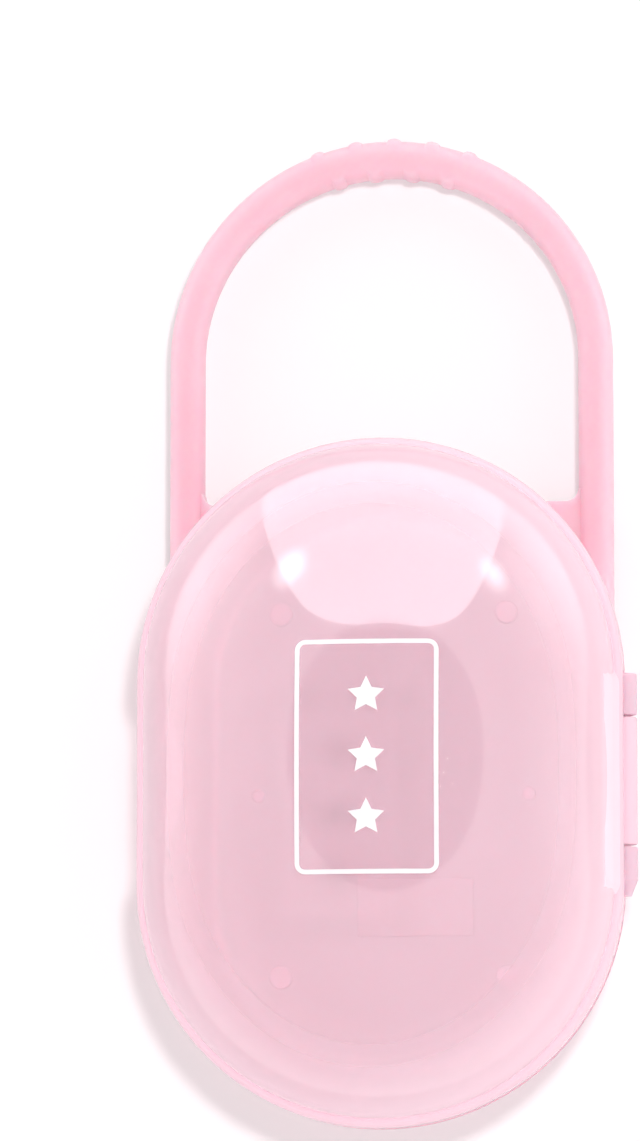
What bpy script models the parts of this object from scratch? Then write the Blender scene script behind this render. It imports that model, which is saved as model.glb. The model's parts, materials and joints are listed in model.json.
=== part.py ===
"""Pacifier case: two moulded half shells that open like a book on a side hinge, with a carrying loop.

The case lies on its back. +X points to the hinge, +Y to the carrying loop and +Z out of the clear
front cover. The origin is the centre of the flat back that the case rests on.
"""

import math

import bmesh
import bpy
from mathutils import Vector

MM = 0.001

# Plan of the case: two round ends joined by straight sides
END_RADIUS = 35.0 * MM
SIDE_LENGTH = 29.2 * MM
END_STEPS = 28

# Rear shell: a tray with a flat floor and sloping walls
REAR_DEPTH = 22.0 * MM
FLOOR_INSET = 8.3 * MM
WALL = 1.6 * MM
FLOOR_EDGE_ROUND = 2.0 * MM
FLOOR_EDGE_STEPS = 3

# Rims: a band round each half, and the tongue of the rear shell that the cover closes over
REAR_BAND_STEP = 1.1 * MM
REAR_BAND_HEIGHT = 3.0 * MM
COVER_BAND_STEP = 1.2 * MM
COVER_BAND_HEIGHT = 3.4 * MM
BAND_CHAMFER = 0.4 * MM
SKIRT_WALL = 1.5 * MM
SKIRT_POCKET_HEIGHT = 2.6 * MM
TONGUE_CLEARANCE = 0.3 * MM
TONGUE_THICKNESS = 1.0 * MM
TONGUE_HEIGHT = 2.2 * MM
TONGUE_CHAMFER = 0.25 * MM

# Front cover: a dome whose level lines shrink from the rim's outline to an oval
COVER_RISE = 21.3 * MM
COVER_WALL = 1.4 * MM
DOME_SQUARENESS = 2.25
DOME_OVAL_POWER = 4
DOME_STEPS = 12
DOME_TOP_SHARE = 0.06

# Space left between two solids that touch on the real object, and the overrun of every cut
PART_GAP = 0.3 * MM
CUT_OVERRUN = 2.0 * MM

# Hinge: two knuckles of the rear shell and one of the cover, on a plain pin
HINGE_OFFSET = 0.25 * MM
KNUCKLE_RADIUS = 1.6 * MM
KNUCKLE_CLEARANCE = 0.3 * MM
HINGE_TOP = 15.2 * MM
UPPER_KNUCKLE_LENGTH = 6.0 * MM
COVER_KNUCKLE_LENGTH = 18.3 * MM
LOWER_KNUCKLE_LENGTH = 7.0 * MM
LOWER_KNUCKLE_TAPER = 2.2 * MM
LOWER_KNUCKLE_TIP_RADIUS = 0.7 * MM
PIN_RADIUS = 0.65 * MM
PIN_CLEARANCE = 0.3 * MM
PIN_RECESS = 0.5 * MM
BORE_END_WALL = 2.6 * MM
ROUND_STEPS = 24

# Finger recess under the cover's rim on the latch side, and the ridge that the cover snaps over
RECESS_LENGTH = 26.6 * MM
RECESS_DEPTH = 4.8 * MM
RECESS_REACH_DOWN = 26.0 * MM
RECESS_OFFSET = 0.7 * MM
RECESS_LIFT = 0.2 * MM
RECESS_STEPS = 32
CATCH_LENGTH = 12.0 * MM
CATCH_RADIUS = 0.5 * MM
CATCH_HEIGHT = 0.2 * MM
CATCH_BELOW_TONGUE_TOP = 0.8 * MM

# Stand-off nubs and a raised panel on the floor
NUB_RADIUS = 1.7 * MM
NUB_HEIGHT = 1.0 * MM
NUB_SPACING_X = 33.6 * MM
NUB_SPACING_Y = 53.6 * MM
SMALL_NUB_RADIUS = 1.0 * MM
SMALL_NUB_SPACING = 40.4 * MM
PANEL_LENGTH = 17.2 * MM
PANEL_WIDTH = 8.4 * MM
PANEL_HEIGHT = 0.5 * MM
PANEL_CENTRE_X = 3.2 * MM
PANEL_CENTRE_Y = -16.6 * MM
FLOOR_BITE = 0.5 * MM

# Carrying loop: a bow of one rounded section, a little wider at its crown
LOOP_INSET = 2.3 * MM
LOOP_RISE = 47.0 * MM
LOOP_HEIGHT = 5.5 * MM
LEG_WIDTH = 5.1 * MM
CROWN_WIDTH = 5.4 * MM
LOOP_THICKNESS = 6.0 * MM
SECTION_SQUARENESS = 2.6
SECTION_STEPS = 20
ARCH_STEPS = 32
LEG_END_BELOW_RIM = 30.0 * MM
LEG_TAPER_LENGTH = 8.0 * MM
LEG_END_SHARE = 0.45

# Grip ribs on the crown of the loop, staggered between its outer and its inner side
RIB_RADIUS = 0.9 * MM
OUTER_RIB_HEIGHT = 0.6 * MM
INNER_RIB_HEIGHT = 0.4 * MM
OUTER_RIBS = 5
OUTER_RIB_PITCH = 10.2
INNER_RIBS = 4
INNER_RIB_PITCH = 11.2
RIB_CENTRE = 1.0
RIB_WRAP = 62.0
RIB_STEPS = 6

# Collar of the loop: a plate under the rim, seated round the end of the rear shell
COLLAR_THICKNESS = 4.0 * MM
COLLAR_BELOW_RIM = 2.0 * MM
GUSSET_BELOW_RIM = 7.2 * MM
GUSSET_FILLET = 1.8 * MM
GUSSET_STEPS = 5
COLLAR_STEPS = 24

SHELL_PINK = (0.92, 0.60, 0.69, 1.0)
COVER_PINK = (0.94, 0.72, 0.80, 1.0)
LOOP_PINK = (0.91, 0.53, 0.62, 1.0)
PIN_PINK = (0.88, 0.55, 0.64, 1.0)
MOULDED_ROUGHNESS = 0.35
POLISHED_ROUGHNESS = 0.12
SHELL_CLEARNESS = 0.4
COVER_CLEARNESS = 0.7

HALF_SIDE = SIDE_LENGTH / 2
PARTING = REAR_DEPTH
COVER_FOOT = PARTING + PART_GAP
COVER_SHOULDER = COVER_FOOT + COVER_BAND_HEIGHT
COVER_TOP = COVER_FOOT + COVER_RISE
SKIRT_INNER = END_RADIUS - SKIRT_WALL
TONGUE_OUTER = SKIRT_INNER - TONGUE_CLEARANCE
TONGUE_INNER = TONGUE_OUTER - TONGUE_THICKNESS
TONGUE_TOP = PARTING + TONGUE_HEIGHT
WALL_TOP_RADIUS = END_RADIUS - REAR_BAND_STEP
WALL_TOP = PARTING - REAR_BAND_HEIGHT
FLOOR_RADIUS = END_RADIUS - FLOOR_INSET
BASE_RADIUS = FLOOR_RADIUS + WALL
DOME_RADIUS = END_RADIUS - COVER_BAND_STEP
HINGE_X = END_RADIUS + HINGE_OFFSET
UPPER_KNUCKLE_END = HINGE_TOP - UPPER_KNUCKLE_LENGTH
COVER_KNUCKLE_START = UPPER_KNUCKLE_END - PART_GAP
COVER_KNUCKLE_END = COVER_KNUCKLE_START - COVER_KNUCKLE_LENGTH
LOWER_KNUCKLE_START = COVER_KNUCKLE_END - PART_GAP
HINGE_END = LOWER_KNUCKLE_START - LOWER_KNUCKLE_LENGTH
BORE_END = HINGE_END + BORE_END_WALL
LOOP_RADIUS = END_RADIUS - LOOP_INSET
LOOP_TOP = HALF_SIDE + END_RADIUS + LOOP_RISE
LOOP_CENTRE_Y = LOOP_TOP - LOOP_RADIUS
LEG_X = LOOP_RADIUS - LEG_WIDTH / 2
LEG_END = HALF_SIDE + END_RADIUS - LEG_END_BELOW_RIM
COLLAR_RADIUS = END_RADIUS - COLLAR_BELOW_RIM


def new_collection(name):
    """A collection of that name in the scene."""
    made = bpy.data.collections.new(name)
    bpy.context.scene.collection.children.link(made)
    return made


def plastic(name, colour, roughness, clearness):
    """A moulded plastic that lets a share of the light through."""
    made = bpy.data.materials.new(name)
    made.use_nodes = True
    made.diffuse_color = colour
    shader = made.node_tree.nodes["Principled BSDF"]
    shader.inputs["Base Color"].default_value = colour
    shader.inputs["Roughness"].default_value = roughness
    shader.inputs["Metallic"].default_value = 0.0
    shader.inputs["Transmission Weight"].default_value = clearness
    return made


def place(name, shape, collection):
    """Turns a bmesh into an object of that collection, with its faces pointing out."""
    bmesh.ops.recalc_face_normals(shape, faces=shape.faces)
    mesh = bpy.data.meshes.new(name)
    shape.to_mesh(mesh)
    shape.free()
    made = bpy.data.objects.new(name, mesh)
    collection.objects.link(made)
    return made


def solid_from_curve(curve, collection):
    """A closed mesh object from a curve object, which it replaces."""
    view = bpy.context.evaluated_depsgraph_get()
    mesh = bpy.data.meshes.new_from_object(curve.evaluated_get(view))
    shape = bmesh.new()
    shape.from_mesh(mesh)
    bpy.data.meshes.remove(mesh)
    bmesh.ops.remove_doubles(shape, verts=shape.verts, dist=PART_GAP / 100)
    made = place(curve.name + "_solid", shape, collection)
    made.matrix_world = curve.matrix_world
    bpy.data.objects.remove(curve)
    return made


def path_object(name, points, collection, closed=False):
    """A curve object through points, each of them with its own share of the section's size."""
    data = bpy.data.curves.new(name, "CURVE")
    data.dimensions = "3D"
    data.twist_mode = "Z_UP"
    data.use_fill_caps = not closed
    spline = data.splines.new("POLY")
    spline.points.add(len(points) - 1)
    spline.use_cyclic_u = closed
    for point, (place_of_point, share) in zip(spline.points, points):
        point.co = (*place_of_point, 1.0)
        point.radius = share
    made = bpy.data.objects.new(name, data)
    collection.objects.link(made)
    return made


def outline_solid(name, outline, low, high, collection):
    """A flat plate with that outline, from one height to another."""
    data = bpy.data.curves.new(name, "CURVE")
    data.dimensions = "2D"
    data.fill_mode = "BOTH"
    data.extrude = (high - low) / 2
    spline = data.splines.new("POLY")
    spline.points.add(len(outline) - 1)
    spline.use_cyclic_u = True
    for point, (x, y) in zip(spline.points, outline):
        point.co = (x, y, 0.0, 1.0)
    made = bpy.data.objects.new(name, data)
    made.location.z = (low + high) / 2
    collection.objects.link(made)
    bpy.context.view_layer.update()
    return solid_from_curve(made, collection)


def stadium(radius, half_side, height):
    """One level line of the case: a ring of two round ends and two straight sides."""
    ring = []
    for end in (1, -1):
        for step in range(END_STEPS + 1):
            turn = math.pi * step / END_STEPS
            ring.append((
                end * radius * math.cos(turn),
                end * (half_side + radius * math.sin(turn)),
                height,
            ))
    return ring


def loft(name, rings, collection):
    """A closed solid through rings of equal count, with its first and last ring filled."""
    shape = bmesh.new()
    loops = [[shape.verts.new(point) for point in ring] for ring in rings]
    for low, high in zip(loops, loops[1:]):
        for here in range(len(low)):
            there = (here + 1) % len(low)
            shape.faces.new((low[here], low[there], high[there], high[here]))
    shape.faces.new(reversed(loops[0]))
    shape.faces.new(loops[-1])
    return place(name, shape, collection)


def bar(name, radius, start, end, collection, end_radius=None):
    """A round bar along the hinge's direction, which may narrow towards its end."""
    shape = bmesh.new()
    bmesh.ops.create_cone(
        shape,
        cap_ends=True,
        segments=ROUND_STEPS,
        radius1=radius,
        radius2=radius if end_radius is None else end_radius,
        depth=abs(start - end),
    )
    made = place(name, shape, collection)
    made.rotation_euler.x = math.radians(90 if start > end else -90)
    made.location.y = (start + end) / 2
    return made


def hinge_bar(name, radius, start, end, collection, end_radius=None):
    """A bar on the hinge's axis."""
    made = bar(name, radius, start, end, collection, end_radius)
    made.location.x = HINGE_X
    made.location.z = PARTING
    return made


def post(name, radius, x, y, low, high, collection):
    """An upright round post."""
    shape = bmesh.new()
    bmesh.ops.create_cone(
        shape,
        cap_ends=True,
        segments=ROUND_STEPS,
        radius1=radius,
        radius2=radius,
        depth=high - low,
    )
    made = place(name, shape, collection)
    made.location = (x, y, (low + high) / 2)
    return made


def combine(target, other, operation):
    """Adds a Boolean of a helper solid to the target."""
    step = target.modifiers.new(other.name, "BOOLEAN")
    step.operation = operation
    step.solver = "EXACT"
    step.object = other
    other.hide_render = True
    other.display_type = "WIRE"


def finish(made, material):
    """Gives a piece its material and shades its round faces smooth."""
    made.data.materials.append(material)
    made.data.shade_smooth()
    made.data.set_sharp_from_angle(angle=math.radians(30))


def wall_profile(base_radius, top_radius, low, high):
    """A sloping wall over a rounded floor edge, as (radius, height) from the floor up."""
    slope = (top_radius - base_radius) / (high - low)
    profile = []
    for step in range(FLOOR_EDGE_STEPS + 1):
        turn = math.pi / 2 * step / FLOOR_EDGE_STEPS
        rise = FLOOR_EDGE_ROUND * (1 - math.cos(turn))
        tuck = FLOOR_EDGE_ROUND * (1 - math.sin(turn))
        profile.append((base_radius + slope * rise - tuck, low + rise))
    profile.append((top_radius, high))
    return profile


def ring_stack(profile, extra=0.0):
    """Level lines with straight sides of full length, one for each (radius, height)."""
    return [stadium(radius + extra, HALF_SIDE, height) for radius, height in profile]


def dome_line(radius, share, height):
    """A share of the rim's outline, drawn in towards an ellipse as the share gets smaller."""
    ease = 1 - share ** DOME_OVAL_POWER
    line = []
    for x, y, z in stadium(radius, HALF_SIDE, height):
        oval = math.hypot(x / radius, y / (radius + HALF_SIDE))
        size = share * (1 - ease + ease / oval)
        line.append((x * size, y * size, z))
    return line


def dome_stack(radius, foot, top):
    """Level lines of the dome from above its foot to its top."""
    rings = []
    for step in range(1, DOME_STEPS + 1):
        share = math.cos(math.pi / 2 * step / DOME_STEPS)
        share = max(share, DOME_TOP_SHARE)
        lift = (1 - share ** DOME_SQUARENESS) ** (1 / DOME_SQUARENESS)
        rings.append(dome_line(radius, share, foot + (top - foot) * lift))
    return rings


def recess_ball(name, grow, top, collection):
    """The lower half of the ellipsoid that hollows the finger recess, grown on all sides."""
    half = RECESS_LENGTH / 2
    radius = (half ** 2 + RECESS_DEPTH ** 2) / (2 * RECESS_DEPTH)
    shape = bmesh.new()
    bmesh.ops.create_uvsphere(shape, u_segments=RECESS_STEPS, v_segments=RECESS_STEPS // 2, radius=1.0)
    size = (radius + grow, radius + grow, RECESS_REACH_DOWN + grow)
    bmesh.ops.scale(shape, vec=size, verts=shape.verts)
    centre = Vector((RECESS_DEPTH - radius - END_RADIUS, RECESS_OFFSET, PARTING))
    bmesh.ops.translate(shape, vec=centre, verts=shape.verts)
    everything = shape.verts[:] + shape.edges[:] + shape.faces[:]
    cut = bmesh.ops.bisect_plane(
        shape, geom=everything, plane_co=(0.0, 0.0, top), plane_no=(0.0, 0.0, 1.0), clear_outer=True)
    rim = [item for item in cut["geom_cut"] if isinstance(item, bmesh.types.BMEdge)]
    bmesh.ops.contextual_create(shape, geom=rim)
    return place(name, shape, collection)


def tray_profile():
    """The outside of the rear shell, from its flat back to the top of the tongue."""
    return wall_profile(BASE_RADIUS, WALL_TOP_RADIUS, 0.0, WALL_TOP) + [
        (END_RADIUS - BAND_CHAMFER, WALL_TOP),
        (END_RADIUS, WALL_TOP + BAND_CHAMFER),
        (END_RADIUS, PARTING),
        (TONGUE_OUTER, PARTING),
        (TONGUE_OUTER, TONGUE_TOP - TONGUE_CHAMFER),
        (TONGUE_OUTER - TONGUE_CHAMFER, TONGUE_TOP),
    ]


def add_floor_details(shell, helpers):
    """Four nubs, two small ones and a plain raised panel on the floor of the tray."""
    low = WALL - FLOOR_BITE
    for x in (-NUB_SPACING_X / 2, NUB_SPACING_X / 2):
        for y in (-NUB_SPACING_Y / 2, NUB_SPACING_Y / 2):
            nub = post("floor_nub", NUB_RADIUS, x, y, low, WALL + NUB_HEIGHT, helpers)
            combine(shell, nub, "UNION")
    for x in (-SMALL_NUB_SPACING / 2, SMALL_NUB_SPACING / 2):
        nub = post("small_nub", SMALL_NUB_RADIUS, x, 0.0, low, WALL + NUB_HEIGHT, helpers)
        combine(shell, nub, "UNION")
    outline = []
    for along, across in ((-1, -1), (1, -1), (1, 1), (-1, 1)):
        outline.append((
            PANEL_CENTRE_X + along * PANEL_LENGTH / 2,
            PANEL_CENTRE_Y + across * PANEL_WIDTH / 2,
        ))
    panel = outline_solid("floor_panel", outline, low, WALL + PANEL_HEIGHT, helpers)
    combine(shell, panel, "UNION")


def catch_bar(name, grow, helpers):
    """The short ridge on the latch side of the tongue, or its clearance."""
    half = CATCH_LENGTH / 2 + grow
    made = bar(name, CATCH_RADIUS + grow, RECESS_OFFSET + half, RECESS_OFFSET - half, helpers)
    made.location.x = CATCH_RADIUS - TONGUE_OUTER - CATCH_HEIGHT
    made.location.z = TONGUE_TOP - CATCH_BELOW_TONGUE_TOP
    return made


def make_rear_shell(parts, helpers):
    """The tray: sloping walls, rim band, tongue, finger recess and two hinge knuckles."""
    shell = loft("rear_shell", ring_stack(tray_profile()), parts)
    inside = wall_profile(FLOOR_RADIUS, TONGUE_INNER, WALL, WALL_TOP)
    inside.append((TONGUE_INNER, TONGUE_TOP + CUT_OVERRUN))
    cavity = loft("tray_cavity", ring_stack(inside), helpers)
    recess_top = PARTING + RECESS_LIFT
    combine(cavity, recess_ball("recess_wall", WALL, recess_top + WALL, helpers), "DIFFERENCE")
    combine(shell, cavity, "DIFFERENCE")
    combine(shell, recess_ball("finger_recess", 0.0, recess_top, helpers), "DIFFERENCE")
    combine(shell, catch_bar("catch_ridge", 0.0, helpers), "UNION")
    add_floor_details(shell, helpers)
    room = hinge_bar(
        "cover_knuckle_room", KNUCKLE_RADIUS + KNUCKLE_CLEARANCE,
        UPPER_KNUCKLE_END, LOWER_KNUCKLE_START, helpers)
    combine(shell, room, "DIFFERENCE")
    upper = hinge_bar("upper_knuckle", KNUCKLE_RADIUS, HINGE_TOP, UPPER_KNUCKLE_END, helpers)
    combine(shell, upper, "UNION")
    taper_start = HINGE_END + LOWER_KNUCKLE_TAPER
    lower = hinge_bar("lower_knuckle", KNUCKLE_RADIUS, LOWER_KNUCKLE_START, taper_start, helpers)
    tip = hinge_bar(
        "lower_knuckle_tip", KNUCKLE_RADIUS, taper_start + PART_GAP, HINGE_END, helpers,
        LOWER_KNUCKLE_TIP_RADIUS)
    combine(lower, tip, "UNION")
    combine(shell, lower, "UNION")
    combine(shell, pin_bore(helpers), "DIFFERENCE")
    return shell


def pin_bore(helpers):
    """The hole through the knuckles, blind at its lower end."""
    return hinge_bar("pin_bore", PIN_RADIUS + PIN_CLEARANCE, HINGE_TOP + CUT_OVERRUN, BORE_END, helpers)


def make_front_cover(parts, helpers):
    """The clear dome with its rim band, skirt pocket and middle hinge knuckle."""
    band = [
        (END_RADIUS, COVER_FOOT),
        (END_RADIUS, COVER_SHOULDER - BAND_CHAMFER),
        (END_RADIUS - BAND_CHAMFER, COVER_SHOULDER),
        (DOME_RADIUS, COVER_SHOULDER),
    ]
    outside = ring_stack(band) + dome_stack(DOME_RADIUS, COVER_SHOULDER, COVER_TOP)
    cover = loft("front_cover", outside, parts)
    pocket_top = COVER_FOOT + SKIRT_POCKET_HEIGHT
    inner_radius = DOME_RADIUS - COVER_WALL
    pocket = [(SKIRT_INNER, COVER_FOOT - CUT_OVERRUN), (SKIRT_INNER, pocket_top), (inner_radius, pocket_top)]
    inside = ring_stack(pocket) + dome_stack(inner_radius, pocket_top, COVER_TOP - COVER_WALL)
    combine(cover, loft("cover_cavity", inside, helpers), "DIFFERENCE")
    combine(cover, catch_bar("catch_groove", CATCH_HEIGHT, helpers), "DIFFERENCE")
    rooms = (
        ("upper_knuckle_room", HINGE_TOP + PART_GAP, COVER_KNUCKLE_START),
        ("lower_knuckle_room", COVER_KNUCKLE_END, HINGE_END - PART_GAP),
    )
    for name, start, end in rooms:
        room = hinge_bar(name, KNUCKLE_RADIUS + KNUCKLE_CLEARANCE, start, end, helpers)
        combine(cover, room, "DIFFERENCE")
    middle = hinge_bar("cover_knuckle", KNUCKLE_RADIUS, COVER_KNUCKLE_START, COVER_KNUCKLE_END, helpers)
    combine(cover, middle, "UNION")
    combine(cover, pin_bore(helpers), "DIFFERENCE")
    return cover


def make_hinge_pin(parts):
    """The plain pin that joins the knuckles."""
    return hinge_bar("hinge_pin", PIN_RADIUS, HINGE_TOP - PIN_RECESS, BORE_END + PIN_CLEARANCE, parts)


def section_point(turn, shrink=0.0):
    """A point of the loop's section: in-plane offset from its middle, and height."""
    reach = LEG_WIDTH / 2 - shrink
    depth = LOOP_THICKNESS / 2 - shrink
    power = 2 / SECTION_SQUARENESS
    across = math.copysign(abs(math.cos(turn)) ** power, math.cos(turn))
    up = math.copysign(abs(math.sin(turn)) ** power, math.sin(turn))
    return reach * across, depth * up


def loop_width(turn):
    """The loop's width at a turn of its arch, from 0 at one leg over the crown to pi."""
    return LEG_WIDTH + (CROWN_WIDTH - LEG_WIDTH) * math.sin(turn) ** 2


def make_bow(helpers):
    """The bow itself, swept along its legs and arch."""
    points = [
        ((LEG_X, LEG_END, LOOP_HEIGHT), LEG_END_SHARE),
        ((LEG_X, LEG_END + LEG_TAPER_LENGTH, LOOP_HEIGHT), 1.0),
    ]
    for step in range(ARCH_STEPS + 1):
        turn = math.pi * step / ARCH_STEPS
        width = loop_width(turn)
        radius = LOOP_RADIUS - width / 2
        spot = (radius * math.cos(turn), LOOP_CENTRE_Y + radius * math.sin(turn), LOOP_HEIGHT)
        points.append((spot, width / LEG_WIDTH))
    points.append(((-LEG_X, LEG_END + LEG_TAPER_LENGTH, LOOP_HEIGHT), 1.0))
    points.append(((-LEG_X, LEG_END, LOOP_HEIGHT), LEG_END_SHARE))
    ring = []
    for step in range(SECTION_STEPS):
        across, up = section_point(2 * math.pi * step / SECTION_STEPS)
        ring.append(((across, up, 0.0), 1.0))
    section = path_object("loop_section", ring, helpers, closed=True)
    bow = path_object("loop_bow", points, helpers)
    bow.data.bevel_mode = "OBJECT"
    bow.data.bevel_object = section
    bpy.context.view_layer.update()
    made = solid_from_curve(bow, helpers)
    bpy.data.objects.remove(section)
    return made


def make_rib(name, angle, side, height, helpers):
    """A grip rib that wraps the outer (side 1) or inner (side -1) half of the crown's section."""
    lean = math.radians(angle)
    turn = math.pi / 2 - lean
    width = loop_width(turn)
    middle = LOOP_RADIUS - width / 2
    points = []
    for step in range(RIB_STEPS + 1):
        wrap = math.radians(RIB_WRAP * (2 * step / RIB_STEPS - 1))
        across, up = section_point(wrap, RIB_RADIUS - height)
        radius = middle + side * across * width / LEG_WIDTH
        spot = (
            radius * math.sin(lean),
            LOOP_CENTRE_Y + radius * math.cos(lean),
            LOOP_HEIGHT + up * width / LEG_WIDTH,
        )
        points.append((spot, 1.0))
    rib = path_object(name, points, helpers)
    rib.data.bevel_depth = RIB_RADIUS
    rib.data.bevel_resolution = 1
    rib.data.twist_mode = "MINIMUM"
    bpy.context.view_layer.update()
    return solid_from_curve(rib, helpers)


def rib_angles(count, pitch):
    """The angles of a row of ribs from the loop's crown, in degrees."""
    return [RIB_CENTRE + pitch * (number - (count - 1) / 2) for number in range(count)]


def collar_outline():
    """The collar's outline: an arc under the rim, with a filleted gusset beside each leg."""
    gusset_y = HALF_SIDE + END_RADIUS - GUSSET_BELOW_RIM
    inner_x = LOOP_RADIUS - LEG_WIDTH
    half = [(LEG_X, LEG_END + LEG_TAPER_LENGTH), (LEG_X, gusset_y + GUSSET_FILLET)]
    for step in range(GUSSET_STEPS + 1):
        turn = math.pi / 2 * step / GUSSET_STEPS
        half.append((
            inner_x - GUSSET_FILLET * (1 - math.cos(turn)),
            gusset_y + GUSSET_FILLET * (1 - math.sin(turn)),
        ))
    start = math.asin((gusset_y - HALF_SIDE) / COLLAR_RADIUS)
    for step in range(COLLAR_STEPS // 2 + 1):
        turn = start + (math.pi / 2 - start) * step / (COLLAR_STEPS // 2)
        half.append((COLLAR_RADIUS * math.cos(turn), HALF_SIDE + COLLAR_RADIUS * math.sin(turn)))
    return half + [(-x, y) for x, y in reversed(half[:-1])]


def make_carry_loop(parts, helpers):
    """The loop: bow, ribs and collar in one moulding, cut to seat on the rear shell's end."""
    loop = make_bow(helpers)
    loop.name = "carry_loop"
    helpers.objects.unlink(loop)
    parts.objects.link(loop)
    low = LOOP_HEIGHT - COLLAR_THICKNESS / 2
    collar = outline_solid("collar", collar_outline(), low, low + COLLAR_THICKNESS, helpers)
    combine(loop, collar, "UNION")
    for angle in rib_angles(OUTER_RIBS, OUTER_RIB_PITCH):
        combine(loop, make_rib("outer_rib", angle, 1, OUTER_RIB_HEIGHT, helpers), "UNION")
    for angle in rib_angles(INNER_RIBS, INNER_RIB_PITCH):
        combine(loop, make_rib("inner_rib", angle, -1, INNER_RIB_HEIGHT, helpers), "UNION")
    seat = [(BASE_RADIUS, -CUT_OVERRUN)] + wall_profile(BASE_RADIUS, WALL_TOP_RADIUS, 0.0, WALL_TOP)[-2:]
    combine(loop, loft("shell_seat", ring_stack(seat, PART_GAP), helpers), "DIFFERENCE")
    return loop


def main():
    for old in list(bpy.data.objects):
        bpy.data.objects.remove(old)
    parts = new_collection("pacifier_case")
    helpers = new_collection("cutters")
    finish(make_rear_shell(parts, helpers),
           plastic("shell_plastic", SHELL_PINK, MOULDED_ROUGHNESS, SHELL_CLEARNESS))
    finish(make_carry_loop(parts, helpers),
           plastic("loop_plastic", LOOP_PINK, MOULDED_ROUGHNESS, SHELL_CLEARNESS))
    finish(make_front_cover(parts, helpers),
           plastic("cover_plastic", COVER_PINK, POLISHED_ROUGHNESS, COVER_CLEARNESS))
    finish(make_hinge_pin(parts), plastic("pin_plastic", PIN_PINK, MOULDED_ROUGHNESS, 0.0))


main()
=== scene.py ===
# %% [markdown]
# A pacifier case lies on a pale floor and is seen almost from straight above.
# The imported model is loaded first. It is the frame that every piece here is fitted to, so
# nothing in it is moved. Its box is kept, and the floor is laid just under its bottom.

# %% The imported model
import json
import math

import bmesh
import bpy
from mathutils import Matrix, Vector

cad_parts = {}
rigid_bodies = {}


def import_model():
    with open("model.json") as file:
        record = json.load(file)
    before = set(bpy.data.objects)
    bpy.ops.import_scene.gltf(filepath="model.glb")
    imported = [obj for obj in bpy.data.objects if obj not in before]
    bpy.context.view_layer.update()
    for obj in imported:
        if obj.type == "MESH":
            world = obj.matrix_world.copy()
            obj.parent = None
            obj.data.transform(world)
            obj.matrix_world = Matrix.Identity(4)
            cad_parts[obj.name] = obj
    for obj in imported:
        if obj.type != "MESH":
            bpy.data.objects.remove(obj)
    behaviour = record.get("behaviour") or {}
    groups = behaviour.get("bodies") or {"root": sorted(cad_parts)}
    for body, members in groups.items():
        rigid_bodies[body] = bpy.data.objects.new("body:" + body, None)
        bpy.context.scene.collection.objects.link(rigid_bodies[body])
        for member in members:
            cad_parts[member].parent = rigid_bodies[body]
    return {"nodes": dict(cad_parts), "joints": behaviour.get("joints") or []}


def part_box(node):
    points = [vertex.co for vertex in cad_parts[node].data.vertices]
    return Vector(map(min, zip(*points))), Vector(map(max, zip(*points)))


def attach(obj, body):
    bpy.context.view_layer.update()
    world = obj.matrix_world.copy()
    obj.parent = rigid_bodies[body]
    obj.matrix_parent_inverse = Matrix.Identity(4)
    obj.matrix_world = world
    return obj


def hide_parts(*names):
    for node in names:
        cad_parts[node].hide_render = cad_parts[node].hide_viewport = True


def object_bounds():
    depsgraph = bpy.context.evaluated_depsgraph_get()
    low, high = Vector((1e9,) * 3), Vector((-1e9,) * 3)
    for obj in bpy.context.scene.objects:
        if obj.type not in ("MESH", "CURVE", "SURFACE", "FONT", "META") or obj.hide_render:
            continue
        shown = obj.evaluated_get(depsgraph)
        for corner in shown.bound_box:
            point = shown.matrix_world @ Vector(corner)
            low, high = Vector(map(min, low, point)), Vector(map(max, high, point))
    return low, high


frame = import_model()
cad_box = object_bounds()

MM = 0.001
scene = bpy.context.scene
scene.view_settings.view_transform = "Standard"

# %% [markdown]
# The sizes that the pieces share are read from the frame: the rim's outline from the
# cover's box, the height where the halves part from the hinge. The few that a box can't
# give, such as wall thicknesses, are named once here.

# %% Sizes taken from the frame
PRINT_ROOM = 0.1 * MM
cover_low, cover_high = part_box("front_cover")
tray_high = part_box("rear_shell")[1]
loop_low, loop_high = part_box("carry_loop")
hinge = frame["joints"][0]

PART_GAP = 0.3 * MM
RIM_RADIUS = -cover_low[0]
RIM_END = cover_high[1]
HALF_SIDE = RIM_END - RIM_RADIUS
HINGE_X, PARTING = hinge["pos_m"][0], hinge["pos_m"][2]
COVER_FOOT = PARTING + PART_GAP
COVER_TOP = cover_high[2] - PRINT_ROOM
TONGUE_TOP = tray_high[2]
KNUCKLE_RADIUS = tray_high[0] - HINGE_X

WALL = 1.6 * MM
FLOOR_INSET = 8.3 * MM
SHOULDER = 1.2 * MM
COVER_BAND = 3.4 * MM
COVER_WALL = 1.4 * MM
REAR_STEP = 1.1 * MM
REAR_BAND = 3.0 * MM
SKIRT_WALL = 1.5 * MM
SKIRT_POCKET = 2.6 * MM
TONGUE_GAP = 0.3 * MM
TONGUE_WALL = 1.0 * MM
FLOOR_RADIUS = RIM_RADIUS - FLOOR_INSET
BASE_RADIUS = FLOOR_RADIUS + WALL
print("rim radius", round(RIM_RADIUS, 4), "half side", round(HALF_SIDE, 4),
      "parting", round(PARTING, 4))

# %% [markdown]
# The camera stands high over the case, a little to the right of it and below it, so that
# the floor of the tray shows a few millimetres right and down of the rim. A long lens
# keeps the sides of the loop nearly parallel, as in a catalogue picture.

# %% Camera
CAMERA_DISTANCE = 0.9
TILT_RIGHT = math.radians(5.6)
TILT_DOWN = math.radians(5.5)
RIM_HEIGHT = 24.0 * MM
AIM = Vector((-8.55 * MM, 30.45 * MM, RIM_HEIGHT))
PICTURE_HEIGHT = 163.4 * MM


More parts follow.
